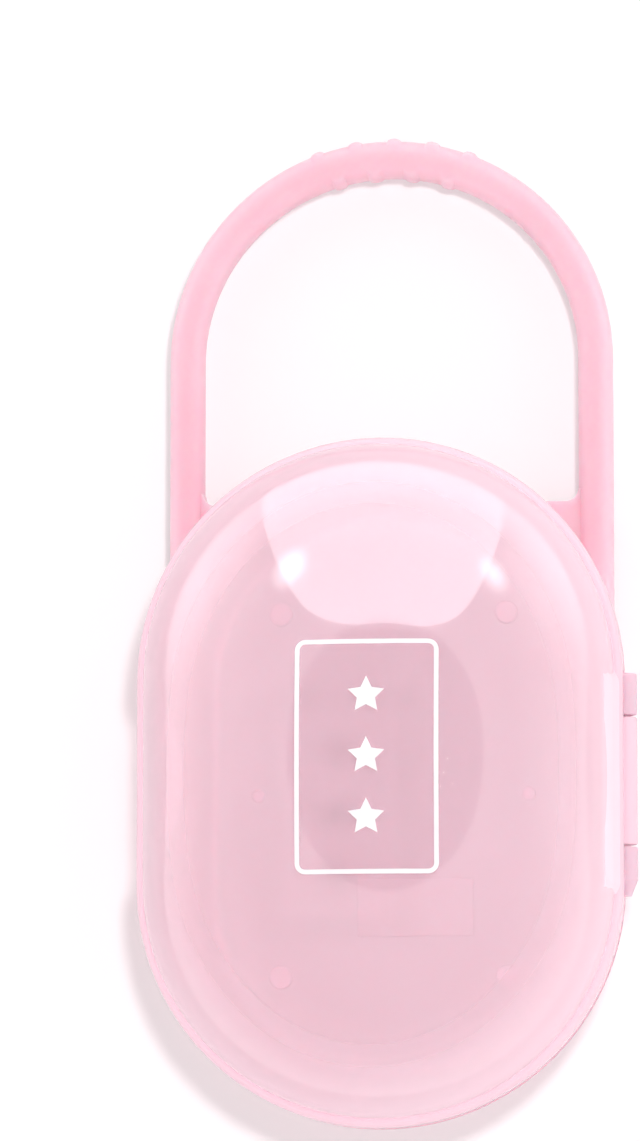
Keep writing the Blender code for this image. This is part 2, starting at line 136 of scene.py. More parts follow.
def make_camera():
    """A camera over the case, turned so that +Y is up in the picture."""
    data = bpy.data.cameras.new("camera")
    camera = bpy.data.objects.new("camera", data)
    scene.collection.objects.link(camera)
    towards = Vector((math.tan(TILT_RIGHT), -math.tan(TILT_DOWN), 1.0)).normalized()
    camera.location = Vector((0.0, 0.0, RIM_HEIGHT)) + CAMERA_DISTANCE * towards
    forward = (AIM - camera.location).normalized()
    right = forward.cross(Vector((0.0, 1.0, 0.0))).normalized()
    up = right.cross(forward)
    turn = camera.rotation_euler.to_matrix()
    turn.col[0], turn.col[1], turn.col[2] = right, up, -forward
    camera.rotation_euler = turn.to_euler()
    data.sensor_fit = "VERTICAL"
    data.sensor_height = 24.0
    data.lens = data.sensor_height * CAMERA_DISTANCE / PICTURE_HEIGHT
    data.clip_start = 0.05
    scene.camera = camera
    return camera


camera = make_camera()
print("lens:", round(camera.data.lens, 1), "mm")

# %% [markdown]
# Lights, world and finishes are all small networks of shader nodes. Written out, a node
# takes a line to make it and one more for each socket and each link. The helpers here do
# that in one call, so that the recipes below stay short.

# %% Helpers for shader nodes
def set_up(node, **values):
    """Gives a node its values by name.

    Names in small letters are settings. The others are sockets, with From_Min for From Min,
    and take a plain value or another node's output.
    """
    for name, value in values.items():
        if name.islower():
            setattr(node, name, value)
            continue
        socket = node.inputs[name.replace("_", " ")]
        if isinstance(value, bpy.types.NodeSocket):
            node.id_data.links.new(value, socket)
        else:
            socket.default_value = value


def new_node(tree, kind, **values):
    """A shader node of that kind, with those values."""
    made = tree.nodes.new("ShaderNode" + kind)
    set_up(made, **values)
    return made


def mix_shaders(tree, factor, first, second):
    """A shader that goes over from the first to the second with the factor."""
    mix = new_node(tree, "MixShader", Fac=factor)
    tree.links.new(first.outputs[0], mix.inputs[1])
    tree.links.new(second.outputs[0], mix.inputs[2])
    return mix.outputs[0]


def along_axis(tree, space, axis="Z"):
    """The place along an axis, in one of the spaces that Texture Coordinate offers."""
    where = new_node(tree, "TexCoord")
    split = new_node(tree, "SeparateXYZ", Vector=where.outputs[space])
    return split.outputs[axis]


def from_middle(tree, shift, scale):
    """The distance from the middle of the Generated space, once it is scaled and shifted."""
    where = new_node(tree, "TexCoord")
    moved = new_node(tree, "Mapping", Vector=where.outputs["Generated"], Location=shift,
                     Scale=scale)
    length = new_node(tree, "VectorMath", operation="LENGTH", Vector=moved.outputs["Vector"])
    return length.outputs["Value"]


# %% [markdown]
# Shiny clear plastic is drawn by what it mirrors, so the lights are built as the panels
# of a photographer's light tent. Area lamps are mirrored too, but only as plain rectangles
# or discs. A mesh with an Emission shader can have any outline and fade at its edges. The
# tall one beyond the loop makes the bright fan on the dome. Seen from the dome it spans
# some 31 degrees to each side at its foot and 38 at its waist, and reaches 68 degrees up.
# Two softer ones stand beside it, and two small round lamp heads make the hot spots at the
# fan's sides. The panels are only mirrored: they don't light dull surfaces, so the loop in
# front of them keeps its even pink.

# %% Light of a panel
def glow(name, colour, low, high, soft):
    """A panel's light: its strength at the foot and the top, with faded edges if it is soft."""
    made = bpy.data.materials.new(name)
    made.use_nodes = True
    tree = made.node_tree
    tree.nodes.clear()
    height = along_axis(tree, "Generated")
    climb = new_node(tree, "MapRange", Value=height, To_Min=low, To_Max=high)
    strength = climb.outputs["Result"]
    if soft:
        strength = faded(tree, strength)
    front = new_node(tree, "Emission", Color=colour, Strength=strength)
    behind = new_node(tree, "BsdfTransparent")
    both = new_node(tree, "AddShader")
    tree.links.new(front.outputs[0], both.inputs[0])
    tree.links.new(behind.outputs[0], both.inputs[1])
    side = new_node(tree, "NewGeometry")
    mixed = mix_shaders(tree, side.outputs["Backfacing"], both, behind)
    new_node(tree, "OutputMaterial", Surface=mixed)
    return made


def faded(tree, strength):
    """The strength, falling smoothly to nothing from the panel's middle to its edges."""
    middle = from_middle(tree, (-1.0, 0.0, -1.0), (2.0, 0.0, 2.0))
    fade = new_node(tree, "MapRange", interpolation_type="SMOOTHSTEP", Value=middle,
                    To_Min=1.0, To_Max=0.0)
    times = new_node(tree, "Math", operation="MULTIPLY", Value=fade.outputs["Result"])
    tree.links.new(strength, times.inputs[1])
    return times.outputs[0]


# %% Shape of a panel
PANEL_DISTANCE = 0.45
HEAD_DISTANCE = 0.8 * PANEL_DISTANCE
EDGE_STEPS = 60
WAIST = 0.55
PANEL_SQUARENESS = 2.6
DISC_STEPS = 32


def to_object(name, shape, collection=scene.collection):
    """An object made of a finished bmesh shape."""
    mesh = bpy.data.meshes.new(name)
    shape.to_mesh(mesh)
    shape.free()
    made = bpy.data.objects.new(name, mesh)
    collection.objects.link(made)
    return made


def add_panel(name, outline, place, facing, material):
    """A flat panel with that outline, in its place and turned to face the case."""
    shape = bmesh.new()
    shape.faces.new([shape.verts.new((x, 0.0, z)) for x, z in outline])
    panel = to_object(name, shape)
    panel.location = place
    panel.rotation_euler = facing
    panel.visible_camera = False
    panel.visible_diffuse = False
    panel.visible_shadow = False
    panel.data.materials.append(material)
    print(name, "with", len(outline), "points")


def standing_panel(name, azimuth, foot_angle, wide_angle, rise, low, material):
    """An upright panel, given by the angles that it spans as seen from the case.

    It widens from its foot to a waist and is rounded above it. Low is where its foot stands.
    """
    azimuth, foot_angle, wide_angle, rise = (
        math.radians(angle) for angle in (azimuth, foot_angle, wide_angle, rise))
    foot = PANEL_DISTANCE * math.tan(foot_angle)
    wide = PANEL_DISTANCE * math.tan(wide_angle)
    height = PANEL_DISTANCE * math.tan(rise)
    side = []
    for step in range(EDGE_STEPS + 1):
        share = step / EDGE_STEPS
        below = min(1.0, share / WAIST)
        above = max(0.0, share - WAIST) / (1 - WAIST)
        taper = (1 - above ** PANEL_SQUARENESS) ** (1 / PANEL_SQUARENESS)
        half = (foot + (wide - foot) * math.sin(math.pi / 2 * below)) * taper
        side.append((half, low + (height - low) * share))
    outline = side[:-1] + [(-half, z) for half, z in reversed(side[:-1])]
    place = (PANEL_DISTANCE * math.sin(azimuth), PANEL_DISTANCE * math.cos(azimuth), 0.0)
    add_panel(name, outline, place, (0.0, 0.0, -azimuth), material)


def lamp_head(name, azimuth, elevation, half_angle, material):
    """A small round lamp that faces the case."""
    azimuth, elevation, half_angle = (
        math.radians(angle) for angle in (azimuth, elevation, half_angle))
    radius = HEAD_DISTANCE * math.tan(half_angle)
    outline = []
    for step in range(DISC_STEPS):
        turn = 2 * math.pi * step / DISC_STEPS
        outline.append((radius * math.cos(turn), radius * math.sin(turn)))
    flat = HEAD_DISTANCE * math.cos(elevation)
    height = HEAD_DISTANCE * math.sin(elevation)
    place = (flat * math.sin(azimuth), flat * math.cos(azimuth), height)
    add_panel(name, outline, place, (elevation, 0.0, -azimuth), material)


# %% Light panels
SOFT_PANEL_FOOT = -0.45
LIGHT = (0.95, 0.95, 1.0, 1.0)
far_glow = glow("far_glow", LIGHT, 1.3, 1.5, False)
right_glow = glow("right_glow", LIGHT, 1.2, 1.2, True)
left_glow = glow("left_glow", LIGHT, 1.1, 1.1, True)
standing_panel("far_panel", -1.5, 31.0, 38.0, 67.6, 0.0, far_glow)
standing_panel("right_panel", 50.0, 26.0, 30.0, 48.0, SOFT_PANEL_FOOT, right_glow)
standing_panel("left_panel", -56.0, 26.0, 30.0, 48.0, SOFT_PANEL_FOOT, left_glow)
lamp_head("left_head", -35.5, 45.0, 6.0, glow("left_head_glow", LIGHT, 3.6, 3.6, True))
lamp_head("right_head", 38.0, 42.0, 5.5, glow("right_head_glow", LIGHT, 3.4, 3.4, True))

# %% [markdown]
# A key lamp high on the upper right throws the short soft shadow to the lower left. It
# isn't mirrored in the plastic, so that the dome keeps the calm dark patch at its middle.

# %% Key lamp
KEY_DISTANCE = 0.7
KEY_AZIMUTH = math.radians(62.0)
KEY_ELEVATION = math.radians(78.0)
KEY_SIZE = 0.07
KEY_POWER = 1.7


def make_key_lamp():
    """A round area lamp that points at the case."""
    data = bpy.data.lights.new("key_lamp", "AREA")
    data.shape = "DISK"
    data.size = KEY_SIZE
    data.energy = KEY_POWER
    lamp = bpy.data.objects.new("key_lamp", data)
    flat = KEY_DISTANCE * math.cos(KEY_ELEVATION)
    lamp.location = (flat * math.sin(KEY_AZIMUTH), flat * math.cos(KEY_AZIMUTH),
                     KEY_DISTANCE * math.sin(KEY_ELEVATION))
    lamp.rotation_euler = (math.pi / 2 - KEY_ELEVATION, 0.0, math.pi - KEY_AZIMUTH)
    lamp.visible_glossy = False
    lamp.visible_transmission = False
    lamp.visible_camera = False
    scene.collection.objects.link(lamp)


make_key_lamp()
print("key lamp:", KEY_POWER, "W")

# %% [markdown]
# The world fills the shadows with soft light, brighter near the horizon, as a light tent's
# walls are. The camera sees it as plain white by way of the Light Path node. Overhead it
# is dark, as where the camera looks through the tent's roof, and the dome mirrors that
# as a dim oval round the printed frame.

# %% World
WALL_FILL = 1.65
ROOF_FILL = 0.56
ROOF_HEIGHT = 0.8
ROOF_GAP = 0.1
GAP_HALF_X = 0.38
GAP_HALF_Y = 0.27
GAP_CENTRE_Y = 0.13
GAP_EDGE = (0.96, 1.04)
TENT_COLOUR = (1.0, 0.985, 0.99, 1.0)


def make_world():
    """White for the camera, and for everything else a soft tent with a dark gap overhead."""
    world = bpy.data.worlds.new("studio")
    world.use_nodes = True
    tree = world.node_tree
    climb = new_node(tree, "MapRange", Value=along_axis(tree, "Generated"),
                     From_Max=ROOF_HEIGHT, To_Min=WALL_FILL, To_Max=ROOF_FILL)
    gap = from_middle(tree, (0.0, -GAP_CENTRE_Y / GAP_HALF_Y, 0.0),
                      (1 / GAP_HALF_X, 1 / GAP_HALF_Y, 0.0))
    tent = new_node(tree, "MapRange", interpolation_type="SMOOTHSTEP", Value=gap,
                    From_Min=GAP_EDGE[0], From_Max=GAP_EDGE[1], To_Min=ROOF_GAP,
                    To_Max=climb.outputs["Result"])
    path = new_node(tree, "LightPath")
    seen = new_node(tree, "Mix", Factor=path.outputs["Is Camera Ray"],
                    A=tent.outputs["Result"], B=1.0)
    set_up(tree.nodes["Background"], Color=TENT_COLOUR, Strength=seen.outputs["Result"])
    scene.world = world


make_world()
print("world:", len(scene.world.node_tree.nodes), "nodes")

# %% [markdown]
# The floor is white paper. For the camera, and for what is seen through the plastic, it
# also glows a little, which lifts it to pure white but leaves the case's shadow on it.

# %% Floor
FLOOR_HALF = 1.6
FLOOR_GLOW = 0.13
FLOOR_DROP = 0.02 * MM
PAPER_WHITE = (0.9, 0.9, 0.9, 1.0)


def new_finish(name, **values):
    """A material with its Principled shader, which gets those values."""
    made = bpy.data.materials.new(name)
    made.use_nodes = True
    shader = made.node_tree.nodes["Principled BSDF"]
    set_up(shader, **values)
    return made, made.node_tree, shader


def make_floor():
    """A large sheet of white paper under the case."""
    shape = bmesh.new()
    bmesh.ops.create_grid(shape, x_segments=1, y_segments=1, size=FLOOR_HALF)
    floor = to_object("paper_floor", shape)
    floor.location.z = cad_box[0][2] - FLOOR_DROP
    paper, tree, shader = new_finish(
        "white_paper", Base_Color=PAPER_WHITE, Roughness=0.9, Specular_IOR_Level=0.0,
        Emission_Color=(1.0, 1.0, 1.0, 1.0))
    path = new_node(tree, "LightPath")
    seen = new_node(tree, "Math", operation="MAXIMUM", Value=path.outputs["Is Camera Ray"])
    tree.links.new(path.outputs["Is Transmission Ray"], seen.inputs[1])
    glowing = new_node(tree, "MapRange", Value=seen.outputs[0], To_Max=FLOOR_GLOW)
    set_up(shader, Emission_Strength=glowing.outputs["Result"])
    floor.data.materials.append(paper)
    print("floor at height", round(floor.location.z, 5))


make_floor()

# %% [markdown]
# All the plastic is one family: pink polypropylene. Real mouldings aren't one flat
# colour. The pigment swirls faintly, the skin has a fine orange-peel ripple, and
# handling leaves faint dull patches. Each finish below mixes those from noise in object
# space, so that they stay on the piece when it moves.

# %% Noise, colours and numbers
def add_noise(tree, scale, detail):
    """Noise in object space, with features of about one unit divided by the scale."""
    where = new_node(tree, "TexCoord")
    noise = new_node(tree, "TexNoise", Vector=where.outputs["Object"], Scale=scale,
                     Detail=detail)
    return noise.outputs["Fac"]


def add_ramp(tree, source, low, high, start=0.35, end=0.65):
    """A colour that runs from low to high while the source runs from start to end."""
    ramp = new_node(tree, "ValToRGB", Fac=source)
    ramp.color_ramp.elements[0].position = start
    ramp.color_ramp.elements[0].color = (*low, 1.0)
    ramp.color_ramp.elements[1].position = end
    ramp.color_ramp.elements[1].color = (*high, 1.0)
    return ramp.outputs["Color"]


def add_range(tree, source, low, high):
    """A number that runs from low to high with the source."""
    made = new_node(tree, "MapRange", Value=source, From_Min=0.1, From_Max=0.9, To_Min=low,
                    To_Max=high)
    return made.outputs["Result"]


def add_climb(tree, low, high, axis="Z"):
    """A number that runs from 0 to 1 between two places along an axis of object space."""
    climb = new_node(tree, "MapRange", interpolation_type="SMOOTHSTEP", From_Min=low,
                     From_Max=high, Value=along_axis(tree, "Object", axis))
    return climb.outputs["Result"]


def add_blend(tree, factor, first, second):
    """A colour that goes over from the first to the second with the factor."""
    mix = new_node(tree, "Mix", data_type="RGBA", Factor=factor)
    tree.links.new(first, mix.inputs[6])
    tree.links.new(second, mix.inputs[7])
    return mix.outputs[2]


# %% Skin and light of the plastic
PLASTIC_IOR = 1.49


def add_ripple(tree, shader, scale, depth):
    """The moulded skin's shallow ripple, as a bump."""
    height = add_noise(tree, scale, 2.0)
    bump = new_node(tree, "Bump", Strength=1.0, Distance=depth, Height=height)
    set_up(shader, Normal=bump.outputs["Normal"])


def add_handling(tree, shader, scale, low, high, detail=4.0):
    """A roughness that varies over the skin in faint patches, as handling leaves it."""
    set_up(shader, Roughness=add_range(tree, add_noise(tree, scale, detail), low, high))


def let_glow_through(tree, shader, tint, where, share):
    """Passes a share of the light on, scattered, so that walls glow when lit from behind."""
    cloud = new_node(tree, "BsdfTranslucent", Color=tint)
    mixed = mix_shaders(tree, add_range(tree, where, 0.0, share), shader, cloud)
    set_up(tree.nodes["Material Output"], Surface=mixed)


def let_lamps_through(tree, shader, tint):
    """Lets the lamps' light pass the plastic straight, tinted, so that what is inside is lit."""
    path = new_node(tree, "LightPath")
    clear = new_node(tree, "BsdfTransparent", Color=tint)
    mixed = mix_shaders(tree, path.outputs["Is Shadow Ray"], shader, clear)
    set_up(tree.nodes["Material Output"], Surface=mixed)


# %% [markdown]
# The rear shell is cloudy: light goes in, scatters and comes out pinker. Its floor lies
# flat on the paper and is in shade, and its walls glow with the light from behind. Both are
# painted into the colour: a greyer floor tint is painted shade, a brighter pinker wall tint
# is painted glow, and the colour goes over from one to the other with the height. Subsurface
# scattering softens it, and in the walls a share of the light is passed on, scattered. The
# hinge's knuckles get a paler tint, a painted highlight for thin pieces in full light.

# %% Rear shell finish
# Heights where the floor's painted shade goes over to the walls' painted glow, and reaches where
# the knuckles' painted highlight comes in.
PAINTED_SHADE_TO_GLOW = (WALL + 0.1 * MM, WALL + 0.9 * MM)
GLOWING_WALL = (WALL + 1.5 * MM, WALL + 5.0 * MM)
KNUCKLE_HIGHLIGHT_REACH = (RIM_RADIUS - 0.9 * MM, RIM_RADIUS - 0.3 * MM)
GLOW_SHARE = 0.3


def make_shell_finish():
    """Cloudy pink, with a greyer floor as painted shade, brighter pinker walls as painted glow,
    and paler hinge knuckles as a painted highlight.
    """
    made, tree, shader = new_finish(
        "cloudy_pink_plastic", IOR=PLASTIC_IOR, Subsurface_Weight=0.6,
        Subsurface_Radius=(1.0, 0.55, 0.62), Subsurface_Scale=0.5 * MM)
    swirl = add_noise(tree, 38.0, 3.0)
    # The floor tint is greyer as painted shade, the wall tint brighter as painted glow, and the
    # knuckle tint paler as a painted highlight.
    floor = add_ramp(tree, swirl, (0.81, 0.585, 0.655), (0.83, 0.615, 0.685))
    wall = add_ramp(tree, swirl, (0.98, 0.62, 0.72), (0.99, 0.65, 0.75))
    painted_knuckle_highlight = add_ramp(tree, swirl, (0.99, 0.74, 0.83), (0.995, 0.76, 0.85))
    shade_to_glow = add_climb(tree, *PAINTED_SHADE_TO_GLOW)
    knuckle_highlight_share = add_climb(tree, *KNUCKLE_HIGHLIGHT_REACH, "X")
    tint = add_blend(tree, knuckle_highlight_share, add_blend(tree, shade_to_glow, floor, wall), painted_knuckle_highlight)
    set_up(shader, Base_Color=tint)
    add_handling(tree, shader, 90.0, 0.32, 0.42)
    add_ripple(tree, shader, 500.0, 0.002 * MM)
    let_glow_through(tree, shader, tint, add_climb(tree, *GLOWING_WALL), GLOW_SHARE)
    return made


shell_finish = make_shell_finish()
print(shell_finish.name, len(shell_finish.node_tree.nodes), "nodes")

# %% [markdown]
# The cover is the clear half. A coat of clear lacquer is not on the real thing, but in
# the shader a coat gives the strong crisp reflection of the polished outer skin. At the
# steep rim one looks through far more plastic, so there it is clouded: less light passes,
# the pink is deeper and the coat fades out, with the height.

# %% Cover finish
RIM_TO_DOME = (COVER_FOOT + COVER_BAND + 1.5 * MM, COVER_FOOT + COVER_BAND + 13.0 * MM)
LAMP_TINT = (1.0, 0.965, 0.975, 1.0)


def make_cover_finish():
    """Clear pink, which clouds and loses its shine towards the steep rim."""
    made, tree, shader = new_finish(
        "clear_pink_plastic", IOR=PLASTIC_IOR, Coat_Roughness=0.03, Coat_IOR=1.7)
    swirl = add_noise(tree, 26.0, 3.0)
    dome = add_ramp(tree, swirl, (0.985, 0.83, 0.89), (0.99, 0.86, 0.92))
    rim = add_ramp(tree, swirl, (0.99, 0.68, 0.78), (0.995, 0.71, 0.80))
    above_rim = add_climb(tree, *RIM_TO_DOME)
    set_up(shader, Base_Color=add_blend(tree, above_rim, rim, dome),
           Transmission_Weight=add_range(tree, above_rim, 0.12, 0.74),
           Coat_Weight=add_range(tree, above_rim, 0.0, 1.0),
           Specular_IOR_Level=add_range(tree, above_rim, 0.3, 0.5))
    add_handling(tree, shader, 70.0, 0.025, 0.05)
    add_ripple(tree, shader, 260.0, 0.004 * MM)
    let_lamps_through(tree, shader, LAMP_TINT)
    return made


cover_finish = make_cover_finish()
print(cover_finish.name, len(cover_finish.node_tree.nodes), "nodes")

# %% [markdown]
# The loop is the same plastic as the rear shell in a solid 6 mm bar, so it looks deeper
# and more even. Light scatters further inside it and its thin edges come out paler.

# %% Loop finish
def make_loop_finish():
    """Deep even pink, with light that scatters through the bar."""
    made, tree, shader = new_finish(
        "solid_pink_plastic", IOR=PLASTIC_IOR, Subsurface_Weight=1.0,
        Subsurface_Radius=(1.0, 0.6, 0.7), Subsurface_Scale=3.5 * MM)
    swirl = add_noise(tree, 30.0, 3.0)
    set_up(shader, Base_Color=add_ramp(tree, swirl, (0.885, 0.57, 0.655), (0.905, 0.61, 0.695)))
    add_handling(tree, shader, 80.0, 0.3, 0.42)
    add_ripple(tree, shader, 700.0, 0.008 * MM)
    return made


loop_finish = make_loop_finish()
print(loop_finish.name, len(loop_finish.node_tree.nodes), "nodes")

# %% [markdown]
# Every level line of the case is two half circles joined by straight sides. The shells
# are stacks of such lines, outer skin up and inner skin down, joined into one closed
# wall. Bevel and Solidify could round and thicken a plain block, but the slope, the steps
# and the tongue of this wall are easier to give as a profile. The straight sides are
# divided too, so that a hollow can be pressed into them.

# %% Level lines and walls
END_STEPS = 64
SIDE_STEPS = 56
CRISP_ANGLE = math.radians(32)


def rim_line(radius, half_side, height):
    """One level line of the case, as points round it at a height."""
    line = []
    for end in (1, -1):
        for step in range(END_STEPS):
            turn = math.pi * step / END_STEPS
            y = end * (half_side + radius * math.sin(turn))
            line.append((end * radius * math.cos(turn), y, height))
        for step in range(SIDE_STEPS):
            share = 1 - 2 * step / SIDE_STEPS
            line.append((-end * radius, end * half_side * share, height))
    return line


def draw_net(shape, lines):
    """Faces from each line of points to the next. Gives back the lines' corners."""
    loops = [[shape.verts.new(point) for point in line] for line in lines]
    for low, high in zip(loops, loops[1:]):
        for here in range(len(low)):
            there = (here + 1) % len(low)
            shape.faces.new((low[here], low[there], high[there], high[here]))
    return loops


def fill_loop(shape, loop, middle):
    """A fan of faces from a closed line to a point in its middle."""
    hub = shape.verts.new(middle)
    for here in range(len(loop)):
        shape.faces.new((loop[here], loop[(here + 1) % len(loop)], hub))


def loft_wall(name, lines, collection=scene.collection):
    """A closed mesh through level lines, with its first and last line filled."""
    shape = bmesh.new()
    loops = draw_net(shape, lines)
    for loop in (loops[0], loops[-1]):
        fill_loop(shape, loop, sum((v.co for v in loop), Vector()) / len(loop))
    bmesh.ops.recalc_face_normals(shape, faces=shape.faces)
    return to_object(name, shape, collection)


def settle(piece):
    """Applies the piece's modifiers, and shades it smooth with its crisp edges kept."""
    view = bpy.context.evaluated_depsgraph_get()
    mesh = bpy.data.meshes.new_from_object(piece.evaluated_get(view))
    piece.modifiers.clear()
    piece.data = mesh
    piece.data.shade_smooth()
    piece.data.set_sharp_from_angle(angle=CRISP_ANGLE)


# %% Profiles
def rounded(points, radius, steps=4):
    """A profile of (reach, height) points whose inner corners are rounded."""
    made = [points[0]]
    for before, corner, after in zip(points, points[1:], points[2:]):
        back = Vector(before) - Vector(corner)
        ahead = Vector(after) - Vector(corner)
        cut = min(radius, back.length / 2, ahead.length / 2)
        start = Vector(corner) + cut * back.normalized()
        end = Vector(corner) + cut * ahead.normalized()
        for step in range(steps + 1):
            share = step / steps
            bend = 2 * share * (1 - share) * Vector(corner)
            made.append(tuple((1 - share) ** 2 * start + bend + share ** 2 * end))
    made.append(points[-1])
    return made


def subdivided(points, longest):
    """A profile with extra points wherever two of them are further apart than that."""
    made = [points[0]]
    for before, after in zip(points, points[1:]):
        count = max(1, math.ceil((Vector(after) - Vector(before)).length / longest))
        for step in range(1, count + 1):
            made.append(tuple(Vector(before).lerp(Vector(after), step / count)))
    return made


# %% [markdown]
# The tray's outer skin climbs from the flat back over a rounded edge and a sloping wall
# to the rim band, and ends in the thin tongue that the cover closes over. The inner skin
# comes back down to the floor. The finger recess is pressed in: each point of the wall
# that lies inside an ellipsoid is moved to its surface, softly, so that the recess
# blends into the wall as it does on a moulding.

# %% Finger recess
RECESS_LENGTH = 26.6 * MM
RECESS_DEPTH = 4.8 * MM
RECESS_REACH_DOWN = 26.0 * MM
RECESS_OFFSET = 0.7 * MM
RECESS_SOFTNESS = 0.5 * MM
RECESS_RADIUS = ((RECESS_LENGTH / 2) ** 2 + RECESS_DEPTH ** 2) / (2 * RECESS_DEPTH)
RECESS_CENTRE_X = RECESS_DEPTH - RECESS_RADIUS - RIM_RADIUS


def soft_max(first, second, softness):
    """The larger of two numbers, with a rounded change-over."""
    gap = first - second
    return (first + second + math.sqrt(gap * gap + softness * softness)) / 2


def press_recess(line, grow, top):
    """Moves the points of a level line out of the recess's ellipsoid, grown on all sides."""
    radius = RECESS_RADIUS + grow
    made = []
    for x, y, z in line:
        down = (PARTING - z) / (RECESS_REACH_DOWN + grow)
        along = (y - RECESS_OFFSET) / radius
        left = 1 - along * along - down * down
        if x < 0 and z <= top and left > 0:
            wall = RECESS_CENTRE_X + radius * math.sqrt(left)
            x = max(x, soft_max(x, wall, RECESS_SOFTNESS))
        made.append((x, y, z))
    return made


print("recess radius", round(RECESS_RADIUS, 4))

# %% Tray
EDGE = 0.35 * MM
FLOOR_EDGE = 2.0 * MM
FLOOR_EDGE_STEPS = 8
BACK_SPREAD = 0.2 * MM
LONGEST_STEP = 0.7 * MM


def tray_skins():
    """The profiles of the tray's outer and inner skin, from the back up to the tongue."""
    band_low = PARTING - REAR_BAND
    tongue_out = RIM_RADIUS - SKIRT_WALL - TONGUE_GAP
    tongue_in = tongue_out - TONGUE_WALL
    outer = rounded([(BASE_RADIUS - 2 * FLOOR_EDGE, 0.0), (BASE_RADIUS + BACK_SPREAD, 0.0),
                     (RIM_RADIUS - REAR_STEP, band_low)], FLOOR_EDGE, FLOOR_EDGE_STEPS)
    band = rounded([(RIM_RADIUS - REAR_STEP, band_low), (RIM_RADIUS, band_low),
                    (RIM_RADIUS, PARTING), (tongue_out, PARTING), (tongue_out, TONGUE_TOP),
                    (tongue_in, TONGUE_TOP), (tongue_in, band_low)], EDGE)
    inner = rounded([(tongue_in, band_low), (FLOOR_RADIUS, WALL),
                     (FLOOR_RADIUS - 2 * FLOOR_EDGE, WALL)], FLOOR_EDGE, FLOOR_EDGE_STEPS)
    turn = band.index(max(band, key=lambda point: (point[1], point[0])))
    return (subdivided(outer + band[1:turn + 1], LONGEST_STEP),
            subdivided(band[turn + 1:] + inner[1:], LONGEST_STEP))


def make_tray():
    """The tray as one closed wall, before its small details."""
    outer, inner = tray_skins()
    lines = []
    for reach, z in outer:
        lines.append(press_recess(rim_line(reach, HALF_SIDE, z), 0.0, PARTING + EDGE))
    for reach, z in inner:
        lines.append(press_recess(rim_line(reach, HALF_SIDE, z), WALL, PARTING + WALL))
    return loft_wall("rear_tray", lines)


tray = make_tray()
print("tray points:", len(tray.data.vertices))

# %% [markdown]
# The small details are solids of their own, joined to the tray or cut from it with
# Boolean modifiers: four nubs, two smaller ones and a plain raised panel on the floor,
# the two outer knuckles of the hinge with their bore for the pin, room for the cover's
# knuckle between them, and the low ridge on the tongue that holds the cover.

# %% Sizes of the small details
HINGE_TOP = 15.2 * MM
UPPER_KNUCKLE = 6.0 * MM
COVER_KNUCKLE = 18.3 * MM
LOWER_KNUCKLE = 7.0 * MM
TAPER = 2.2 * MM
TAPER_TIP = 0.7 * MM
GAP = 0.3 * MM
PIN_GAP = 0.3 * MM
RIDGE_LENGTH = 12.0 * MM
RIDGE_RADIUS = 0.5 * MM
RIDGE_HEIGHT = 0.2 * MM
RIDGE_DROP = 0.8 * MM
NUB_RADIUS = 1.7 * MM
NUB_HEIGHT = 1.0 * MM
NUB_X = 16.8 * MM
NUB_Y = 26.8 * MM
SMALL_NUB_RADIUS = 1.0 * MM
SMALL_NUB_X = 20.2 * MM
PANEL_SIZE = (17.2 * MM, 8.4 * MM, 0.5 * MM)
PANEL_CENTRE = (3.2 * MM, -16.6 * MM)

upper_end = HINGE_TOP - UPPER_KNUCKLE
middle_start = upper_end - GAP
middle_end = middle_start - COVER_KNUCKLE
lower_start = middle_end - GAP
hinge_end = lower_start - LOWER_KNUCKLE
print("hinge from", round(HINGE_TOP, 4), "to", round(hinge_end, 4))

# %% Helper solids
BEVEL_ANGLE = math.radians(50)
ROUND_STEPS = 40
helpers = bpy.data.collections.new("helpers")
scene.collection.children.link(helpers)


def solid(name, shape, location=(0.0, 0.0, 0.0), turn=0.0, edge=0.0):
    """A helper solid, its edges rounded, turned about X and put in its place."""
    made = to_object(name, shape, helpers)
    made.location = location
    made.rotation_euler.x = turn
    if edge:
        bevel = made.modifiers.new("rounded edges", "BEVEL")
        bevel.width = edge
        bevel.segments = 3
        bevel.limit_method = "ANGLE"
        bevel.angle_limit = BEVEL_ANGLE
    return made


def round_solid(name, radius, length, location, turn=0.0, tip=None, edge=0.0):
    """A round bar or post of that length, which may narrow to a tip."""
    shape = bmesh.new()
    bmesh.ops.create_cone(shape, cap_ends=True, segments=ROUND_STEPS, radius1=radius,
                          radius2=radius if tip is None else tip, depth=length)
    return solid(name, shape, location, turn, edge)


def on_hinge(name, radius, start, end, tip=None, edge=0.0):
    """A bar on the hinge's axis from one place along it to another, start being the upper end."""
    place = (HINGE_X, (start + end) / 2, PARTING)
    return round_solid(name, radius, start - end, place, math.radians(90), tip, edge)


def pin_bore(name):
    """The room for the pin: as long as the pin, open at the hinge's upper end."""
    pin_low, pin_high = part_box("hinge_pin")
    radius = (pin_high[0] - pin_low[0]) / 2 + PIN_GAP
    return on_hinge(name, radius, HINGE_TOP + GAP, pin_low[1] - PIN_GAP)


def catch_bar(name, grow):
    """A round bar along the tongue's left side, sunk so that it stands a little proud."""
    reach = RIM_RADIUS - SKIRT_WALL - TONGUE_GAP - RIDGE_RADIUS + RIDGE_HEIGHT
    place = (-reach, RECESS_OFFSET, TONGUE_TOP - RIDGE_DROP)
    return round_solid(name, RIDGE_RADIUS + grow, RIDGE_LENGTH + 2 * grow, place, math.radians(90))


def combine(piece, other, operation):
    """A Boolean of a helper solid on the piece."""
    step = piece.modifiers.new(other.name, "BOOLEAN")
    step.operation = operation
    step.solver = "EXACT"
    step.object = other
    other.hide_render = True


